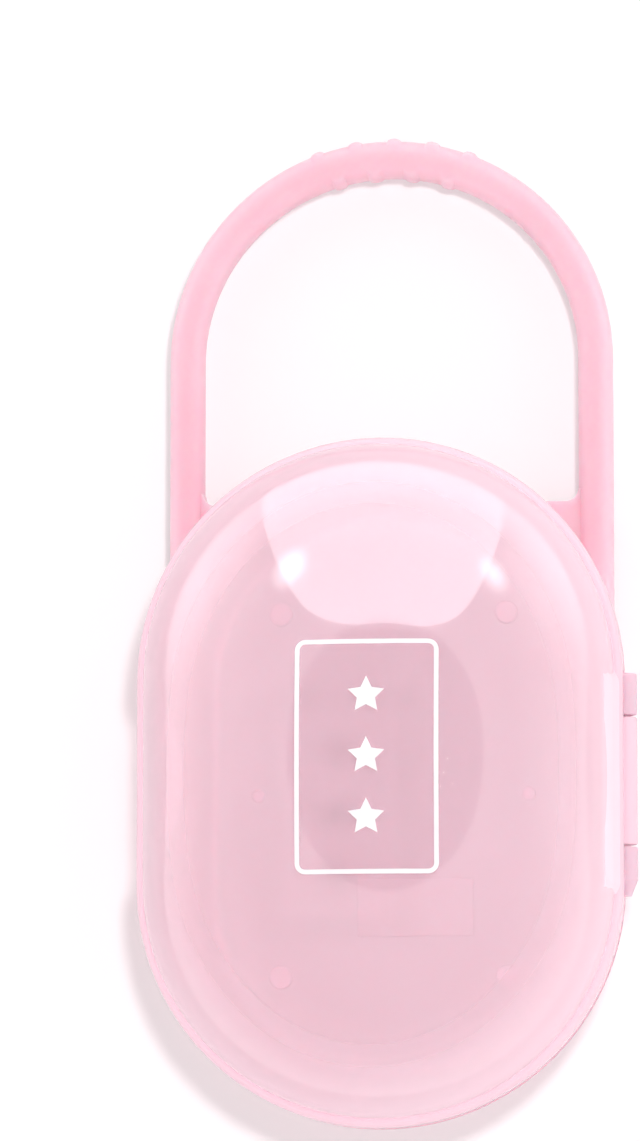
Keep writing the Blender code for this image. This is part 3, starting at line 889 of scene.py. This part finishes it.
# %% Details of the rear shell
def add_tray_details():
    """Nubs, panel, knuckles and the room between them."""
    nubs = [(x, y, NUB_RADIUS) for x in (-NUB_X, NUB_X) for y in (-NUB_Y, NUB_Y)]
    nubs += [(x, 0.0, SMALL_NUB_RADIUS) for x in (-SMALL_NUB_X, SMALL_NUB_X)]
    for x, y, radius in nubs:
        place = (x, y, WALL + NUB_HEIGHT / 2 - GAP)
        nub = round_solid("nub", radius, NUB_HEIGHT + GAP, place, edge=GAP)
        combine(tray, nub, "UNION")
    shape = bmesh.new()
    bmesh.ops.create_cube(shape, size=1.0)
    bmesh.ops.scale(shape, vec=PANEL_SIZE, verts=shape.verts)
    place = (*PANEL_CENTRE, WALL + PANEL_SIZE[2] / 2 - GAP / 2)
    combine(tray, solid("panel", shape, place, edge=GAP / 2), "UNION")
    room = on_hinge("room", KNUCKLE_RADIUS + GAP, upper_end, lower_start)
    combine(tray, room, "DIFFERENCE")
    taper_start = hinge_end + TAPER
    for part in (on_hinge("upper", KNUCKLE_RADIUS, HINGE_TOP, upper_end, edge=GAP),
                 on_hinge("lower", KNUCKLE_RADIUS, lower_start, taper_start),
                 on_hinge("tip", KNUCKLE_RADIUS, taper_start + GAP / 2, hinge_end, TAPER_TIP)):
        combine(tray, part, "UNION")
    combine(tray, pin_bore("tray_bore"), "DIFFERENCE")
    combine(tray, catch_bar("ridge", 0.0), "UNION")


add_tray_details()
settle(tray)
tray.data.materials.append(shell_finish)
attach(tray, "rear_half")
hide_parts("rear_shell")
print("tray faces:", len(tray.data.polygons))

# %% [markdown]
# The cover is a dome on a rim band. A stretched sphere would be quicker to make, but it
# wouldn't meet the rim. Here the level lines near the foot have the rim's straight sides,
# and higher up they shrink and ease into ovals, so that reflections run over the dome
# without a kink. The band's upper edge is well rounded, and catches the pale
# line of light along both sides. The wall is even, and under the band it opens into the
# pocket that closes over the tray's tongue.

# %% Level lines of the dome
DOME_SQUARENESS = 2.25
DOME_OVAL_POWER = 4
DOME_STEPS = 44
DOME_LAST_SHARE = 0.012


def dome_line(radius, share, height):
    """A share of the rim's outline, drawn in towards an ellipse as the share gets smaller."""
    ease = 1 - share ** DOME_OVAL_POWER
    line = []
    for x, y, z in rim_line(radius, HALF_SIDE, height):
        oval = math.hypot(x / radius, y / (radius + HALF_SIDE))
        size = share * (1 - ease + ease / oval)
        line.append((x * size, y * size, z))
    return line


def dome_lines(radius, foot, top):
    """The dome's level lines from above its foot to its top."""
    lines = []
    for step in range(1, DOME_STEPS + 1):
        share = max(math.cos(math.pi / 2 * step / DOME_STEPS), DOME_LAST_SHARE)
        lift = (1 - share ** DOME_SQUARENESS) ** (1 / DOME_SQUARENESS)
        lines.append(dome_line(radius, share, foot + (top - foot) * lift))
    return lines


# %% Cover
SHOULDER_DROP = 1.5 * MM
SHOULDER_EDGE_STEPS = 8


def make_cover():
    """The cover as one closed wall: outer skin and inner skin, joined at the rim's foot."""
    shoulder = COVER_FOOT + COVER_BAND
    dome_radius = RIM_RADIUS - SHOULDER
    skirt = RIM_RADIUS - SKIRT_WALL
    pocket_top = COVER_FOOT + SKIRT_POCKET
    inner_radius = dome_radius - COVER_WALL
    band = rounded([(skirt, pocket_top), (skirt, COVER_FOOT), (RIM_RADIUS, COVER_FOOT),
                    (RIM_RADIUS, shoulder - SHOULDER_DROP)], EDGE)
    for step in range(1, SHOULDER_EDGE_STEPS + 1):
        turn = math.pi / 2 * step / SHOULDER_EDGE_STEPS
        band.append((dome_radius + SHOULDER * math.cos(turn),
                     shoulder - SHOULDER_DROP * (1 - math.sin(turn))))
    outer = [rim_line(reach, HALF_SIDE, z) for reach, z in band]
    outer += dome_lines(dome_radius, shoulder, COVER_TOP)
    inner = dome_lines(inner_radius, pocket_top, COVER_TOP - COVER_WALL)
    inner.reverse()
    inner.append(rim_line(inner_radius, HALF_SIDE, pocket_top))
    return loft_wall("clear_cover", inner + outer)


cover = make_cover()
print("cover points:", len(cover.data.vertices))
for start, end in ((HINGE_TOP + GAP, middle_start), (middle_end, hinge_end - GAP)):
    combine(cover, on_hinge("room", KNUCKLE_RADIUS + GAP, start, end), "DIFFERENCE")
combine(cover, on_hinge("middle", KNUCKLE_RADIUS, middle_start, middle_end, edge=GAP), "UNION")
combine(cover, pin_bore("cover_bore"), "DIFFERENCE")
combine(cover, catch_bar("groove", RIDGE_HEIGHT), "DIFFERENCE")
settle(cover)
cover.data.materials.append(cover_finish)
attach(cover, "cover_half")
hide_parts("front_cover")
print("cover faces:", len(cover.data.polygons))

# %% [markdown]
# Beside the hinge the cover has a leaf along its shoulder. It fills the corner between
# the band and the dome and stiffens the place where the knuckle pulls. Its pale tint is a
# painted highlight, standing in for the pale line of light along the hinge. It is lofted
# from one small profile, given in millimetres from the rim and from the band's upper edge,
# and sinks into the dome at both ends.

# %% Hinge leaf
LEAF_FACE = ((-0.5, -0.25), (-0.62, 0.15), (-0.75, 0.6), (-1.2, 2.4), (-1.6, 4.0), (-2.3, 5.4))
LEAF_BACK = ((-2.9, 5.4), (-1.75, -0.3))
LEAF_ENDS = 1.6 * MM
LEAF_SINK = 0.55 * MM
LEAF_STEPS = 60


def make_leaf_highlight_finish():
    """The same pink plastic in a thin polished strip, with a paler tint that is a painted
    highlight.
    """
    made, tree, shader = new_finish("polished_pale_plastic")
    swirl = add_noise(tree, 26.0, 3.0)
    # The paler pink here is a painted highlight.
    set_up(shader, Base_Color=add_ramp(tree, swirl, (0.985, 0.735, 0.825), (0.99, 0.765, 0.855)))
    add_handling(tree, shader, 70.0, 0.12, 0.2)
    return made


def make_leaf():
    """The leaf, from the hinge's upper end to its lower end."""
    lines = []
    for step in range(LEAF_STEPS + 1):
        y = HINGE_TOP + (hinge_end - HINGE_TOP) * step / LEAF_STEPS
        share = min(1.0, (HINGE_TOP - y) / LEAF_ENDS, (y - hinge_end) / LEAF_ENDS)
        sink = LEAF_SINK * (1 - math.sin(math.pi / 2 * share))
        profile = [(x * MM - sink, z * MM) for x, z in LEAF_FACE]
        profile += [(x * MM - sink / 4, z * MM) for x, z in LEAF_BACK]
        lines.append([(RIM_RADIUS + x, y, COVER_FOOT + COVER_BAND + z) for x, z in profile])
    return loft_wall("hinge_leaf", lines)


leaf = make_leaf()
settle(leaf)
leaf.data.materials.append(make_leaf_highlight_finish())
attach(leaf, "cover_half")
print("leaf faces:", len(leaf.data.polygons))

# %% [markdown]
# A white print decorates the middle of the dome: a thin frame with rounded corners, and
# in it a column of three plain stars. Prints like these are pad-printed, which leaves a
# layer of ink far thinner than paper. Here each print is a fine flat net that a
# Shrinkwrap modifier lays on the dome, and Solidify then gives it a little body.

# %% Ink
def make_ink():
    """White ink, a little uneven, that takes a touch of pink from the plastic."""
    made, tree, shader = new_finish("white_ink")
    speckle = add_noise(tree, 260.0, 3.0)
    colour = add_ramp(tree, speckle, (0.95, 0.88, 0.91), (0.99, 0.95, 0.97), 0.3, 0.7)
    set_up(shader, Base_Color=colour)
    add_handling(tree, shader, 420.0, 0.35, 0.5, detail=2.0)
    return made


ink = make_ink()
print(ink.name, len(ink.node_tree.nodes), "nodes")

# %% Outlines of the prints
PRINT_STEP = 0.8 * MM
STAR_RADIUS = 2.7 * MM
STAR_WAIST = 0.5
FRAME_CORNER_STEPS = 6


def corner_line(half_x, half_y, corner):
    """A rectangle with round corners, as points round it at even steps."""
    line = []
    for sign_x, sign_y, start in ((1, 1, 0), (-1, 1, 90), (-1, -1, 180), (1, -1, 270)):
        for step in range(FRAME_CORNER_STEPS + 1):
            turn = math.radians(start + 90 * step / FRAME_CORNER_STEPS)
            line.append(Vector((sign_x * (half_x - corner) + corner * math.cos(turn),
                                sign_y * (half_y - corner) + corner * math.sin(turn), 0.0)))
    return line


def paired(outer, inner):
    """Extra points on the long sides, at the same places on both lines."""
    made = []
    for here in range(len(outer)):
        there = (here + 1) % len(outer)
        count = max(1, math.ceil((outer[there] - outer[here]).length / PRINT_STEP))
        for share in (step / count for step in range(count)):
            made.append([line[here].lerp(line[there], share) for line in (outer, inner)])
    return [pair[0] for pair in made], [pair[1] for pair in made]


def star_line():
    """A plain five-pointed star, with two extra points on each of its edges."""
    tips = []
    for number in range(10):
        turn = math.pi / 2 + math.pi * number / 5
        reach = STAR_RADIUS * (1 if number % 2 == 0 else STAR_WAIST)
        tips.append(Vector((reach * math.cos(turn), reach * math.sin(turn), 0.0)))
    line = []
    for here, tip in enumerate(tips):
        after = tips[(here + 1) % len(tips)]
        line += [tip, tip.lerp(after, 1 / 3), tip.lerp(after, 2 / 3)]
    return line


# %% Printed frame and stars
FRAME_SIZE = (20.3 * MM, 33.1 * MM)
FRAME_CENTRE = Vector((0.0, 1.7 * MM, 0.0))
FRAME_LINE = 0.65 * MM
FRAME_CORNER = 1.5 * MM
STAR_PITCH = 8.6 * MM
STAR_RINGS = 4
PRINT_BODY = 0.06 * MM


def lay_print(name, rings, centre, filled):
    """A net through nested lines, laid on the dome and given its body."""
    shape = bmesh.new()
    above = centre + Vector((0.0, 0.0, COVER_TOP + MM))
    loops = draw_net(shape, [[point + above for point in ring] for ring in rings])
    if filled:
        fill_loop(shape, loops[-1], above)
    made = to_object(name, shape)
    lay = made.modifiers.new("lay on the dome", "SHRINKWRAP")
    lay.target = cover
    lay.wrap_method = "PROJECT"
    lay.use_project_z = True
    lay.use_positive_direction = False
    lay.use_negative_direction = True
    body = made.modifiers.new("body", "SOLIDIFY")
    body.thickness = PRINT_BODY
    body.offset = 0.0
    settle(made)
    made.data.materials.append(ink)
    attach(made, "cover_half")
    return made


half_x, half_y = (size / 2 for size in FRAME_SIZE)
inner_corner = FRAME_CORNER - FRAME_LINE
frame_lines = paired(corner_line(half_x, half_y, FRAME_CORNER),
                     corner_line(half_x - FRAME_LINE, half_y - FRAME_LINE, inner_corner))
prints = [lay_print("printed_frame", frame_lines, FRAME_CENTRE, False)]
star = star_line()
rings = [[point * (1 - ring / STAR_RINGS) for point in star] for ring in range(STAR_RINGS)]
for number in (-1, 0, 1):
    place = FRAME_CENTRE + Vector((0.0, number * STAR_PITCH, 0.0))
    prints.append(lay_print("printed_star_%d" % (number + 2), rings, place, True))
highest = max(v.co.z for made in prints for v in made.data.vertices)
print("prints:", len(prints), "highest point", round(highest, 5))

# %% [markdown]
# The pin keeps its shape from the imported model: a plain rod. Only its finish is new.

# %% Hinge pin
pin = frame["nodes"]["hinge_pin"]
for place in pin.material_slots:
    place.material = loop_finish

# %% [markdown]
# The loop is swept along its legs and arch, one rounded section after another,
# because its grip ribs are part of the sweep: near the crown, sections under a rib swell
# on their outer or their inner side. Ribs made this way melt into the bar as moulded ones
# do. The sections stand closer together at the crown, so that each rib is well drawn.

# %% Sections of the loop
LEG_WIDTH = 5.1 * MM
CROWN_WIDTH = 5.4 * MM
LOOP_THICKNESS = 6.0 * MM
LOOP_SQUARENESS = 2.6
SECTION_STEPS = 40
RIB_HALF_WIDTH = 1.0 * MM
RIB_CENTRE = 1.0
RIB_WRAP = 62.0
RIB_FADE = 4


def loop_width(turn):
    """The bar's width at a turn of the arch, from 0 at one leg over the crown to pi."""
    return LEG_WIDTH + (CROWN_WIDTH - LEG_WIDTH) * max(0.0, math.sin(turn)) ** 2


def rib_swell(lean, radius, ribs, height):
    """How far the skin stands out at that lean from the crown, in a row of ribs."""
    count, pitch = ribs
    for number in range(count):
        centre = RIB_CENTRE + pitch * (number - (count - 1) / 2)
        off = abs(math.radians(lean - centre)) * radius / RIB_HALF_WIDTH
        if off < 1:
            return height * math.sqrt(1 - off * off)
    return 0.0


def section(centre, outward, width, swell_out=0.0, swell_in=0.0, share=1.0):
    """The bar's rounded section at a place, with its ribs' swell on the outer and inner side."""
    line = []
    power = 2 / LOOP_SQUARENESS
    for step in range(SECTION_STEPS):
        angle = 2 * math.pi * step / SECTION_STEPS
        cosine, sine = math.cos(angle), math.sin(angle)
        across = math.copysign(abs(cosine) ** power, cosine) * width / 2
        up = math.copysign(abs(sine) ** power, sine) * LOOP_THICKNESS / 2 * width / LEG_WIDTH
        hold = (abs(cosine) - math.cos(math.radians(RIB_WRAP))) * RIB_FADE
        hold = max(0.0, min(1.0, hold))
        swell = hold * (swell_out if cosine > 0 else swell_in)
        across += swell * cosine
        up += swell * sine
        line.append(centre + outward * across * share + Vector((0.0, 0.0, up * share)))
    return line


# %% Carrying loop
LEG_END = RIM_END - 30.0 * MM
LEG_TAPER = 8.0 * MM
LEG_END_SHARE = 0.45
LEG_STEPS = 8
LOOP_RISE = 47.0 * MM
OUTER_RIB = 0.45 * MM
INNER_RIB = 0.4 * MM
OUTER_RIBS = (5, 10.2)
INNER_RIBS = (4, 11.2)
CROWN_HALF_ANGLE = 32.0
CROWN_STEPS = 150
SHOULDER_STEPS = 26
loop_radius = loop_high[0]
loop_centre_y = RIM_END + LOOP_RISE - loop_radius
loop_z = loop_low[2] + LOOP_THICKNESS / 2


def loop_sections():
    """All sections from the end of the right leg over the crown to the end of the left leg."""
    leg_x = loop_radius - LEG_WIDTH / 2
    right = Vector((1.0, 0.0, 0.0))
    leg = []
    for along in (step / LEG_STEPS for step in range(LEG_STEPS + 1)):
        share = LEG_END_SHARE + (1 - LEG_END_SHARE) * math.sin(math.pi / 2 * along)
        leg.append((LEG_END + LEG_TAPER * along, share))
    lines = []
    for y, share in leg:
        lines.append(section(Vector((leg_x, y, loop_z)), right, LEG_WIDTH, share=share))
    crown = CROWN_HALF_ANGLE
    sides = [90 - (90 - crown) * step / SHOULDER_STEPS for step in range(SHOULDER_STEPS)]
    leans = sides + [crown - 2 * crown * step / CROWN_STEPS for step in range(CROWN_STEPS + 1)]
    leans += [-lean for lean in reversed(sides)]
    for lean in leans:
        turn = math.radians(90 - lean)
        width = loop_width(turn)
        middle = loop_radius - width / 2
        outward = Vector((math.cos(turn), math.sin(turn), 0.0))
        centre = Vector((0.0, loop_centre_y, loop_z)) + outward * middle
        out = rib_swell(lean, loop_radius, OUTER_RIBS, OUTER_RIB)
        inside = rib_swell(lean, loop_radius - width, INNER_RIBS, INNER_RIB)
        lines.append(section(centre, outward, width, out, inside))
    for y, share in reversed(leg):
        lines.append(section(Vector((-leg_x, y, loop_z)), -right, LEG_WIDTH, share=share))
    return lines


loop = loft_wall("carrying_loop", loop_sections())
print("loop points:", len(loop.data.vertices))

# %% [markdown]
# Under the rim a flat collar joins the legs and hugs the end of the tray, with a small
# fillet beside each leg. It is a filled 2D curve with a thickness, made a mesh and
# rounded, then joined to the bar. A copy of the tray's outside, a hair larger, cuts both
# to fit.

# %% Outline of the collar
COLLAR_BELOW_RIM = 2.0 * MM
GUSSET_BELOW_RIM = 7.2 * MM
GUSSET_FILLET = 1.8 * MM
GUSSET_STEPS = 8
ARC_STEPS = 30


def collar_outline():
    """The collar's outline: an arc under the rim and a filleted gusset beside each leg."""
    leg_x = loop_radius - LEG_WIDTH / 2
    inner_x = loop_radius - LEG_WIDTH
    gusset_y = RIM_END - GUSSET_BELOW_RIM
    reach = RIM_RADIUS - COLLAR_BELOW_RIM
    half = [(leg_x, LEG_END + LEG_TAPER), (leg_x, gusset_y + GUSSET_FILLET)]
    for step in range(GUSSET_STEPS + 1):
        turn = math.pi / 2 * step / GUSSET_STEPS
        half.append((inner_x - GUSSET_FILLET * (1 - math.cos(turn)),
                     gusset_y + GUSSET_FILLET * (1 - math.sin(turn))))
    start = math.asin((gusset_y - HALF_SIDE) / reach)
    for step in range(ARC_STEPS + 1):
        turn = start + (math.pi / 2 - start) * step / ARC_STEPS
        half.append((reach * math.cos(turn), HALF_SIDE + reach * math.sin(turn)))
    return half + [(-x, y) for x, y in reversed(half[:-1])]


# %% Collar
COLLAR_THICKNESS = 4.0 * MM
COLLAR_EDGE = 0.5 * MM
WELD = 0.001 * MM


def make_collar():
    """The collar as a helper solid with rounded edges."""
    data = bpy.data.curves.new("collar", "CURVE")
    data.dimensions = "2D"
    data.fill_mode = "BOTH"
    data.extrude = COLLAR_THICKNESS / 2
    outline = collar_outline()
    spline = data.splines.new("POLY")
    spline.points.add(len(outline) - 1)
    spline.use_cyclic_u = True
    for point, (x, y) in zip(spline.points, outline):
        point.co = (x, y, 0.0, 1.0)
    guide = bpy.data.objects.new("collar_outline", data)
    scene.collection.objects.link(guide)
    bpy.context.view_layer.update()
    view = bpy.context.evaluated_depsgraph_get()
    mesh = bpy.data.meshes.new_from_object(guide.evaluated_get(view))
    bpy.data.objects.remove(guide)
    shape = bmesh.new()
    shape.from_mesh(mesh)
    bmesh.ops.remove_doubles(shape, verts=shape.verts, dist=WELD)
    return solid("collar", shape, (0.0, 0.0, loop_z), edge=COLLAR_EDGE)


# %% Loop joined to its collar and seated on the tray
SEAT_FOOT = -2.0 * MM


def make_seat():
    """The tray's outside, a hair larger, which cuts the loop to fit."""
    outer = tray_skins()[0]
    slope = [(reach + GAP, z) for reach, z in outer if z < PARTING - REAR_BAND]
    slope.insert(0, (slope[0][0], SEAT_FOOT))
    return loft_wall("seat", [rim_line(reach, HALF_SIDE, z) for reach, z in slope], helpers)


combine(loop, make_collar(), "UNION")
combine(loop, make_seat(), "DIFFERENCE")
settle(loop)
loop.data.materials.append(loop_finish)
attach(loop, "rear_half")
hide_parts("carry_loop")
print("loop faces:", len(loop.data.polygons))

# %% [markdown]
# The helper solids have done their work in the Boolean modifiers, which are applied by
# now, so they are taken out of the scene. Only finished pieces remain.

# %% Tidy away the helpers
for helper in list(helpers.objects):
    bpy.data.objects.remove(helper)
bpy.data.collections.remove(helpers)
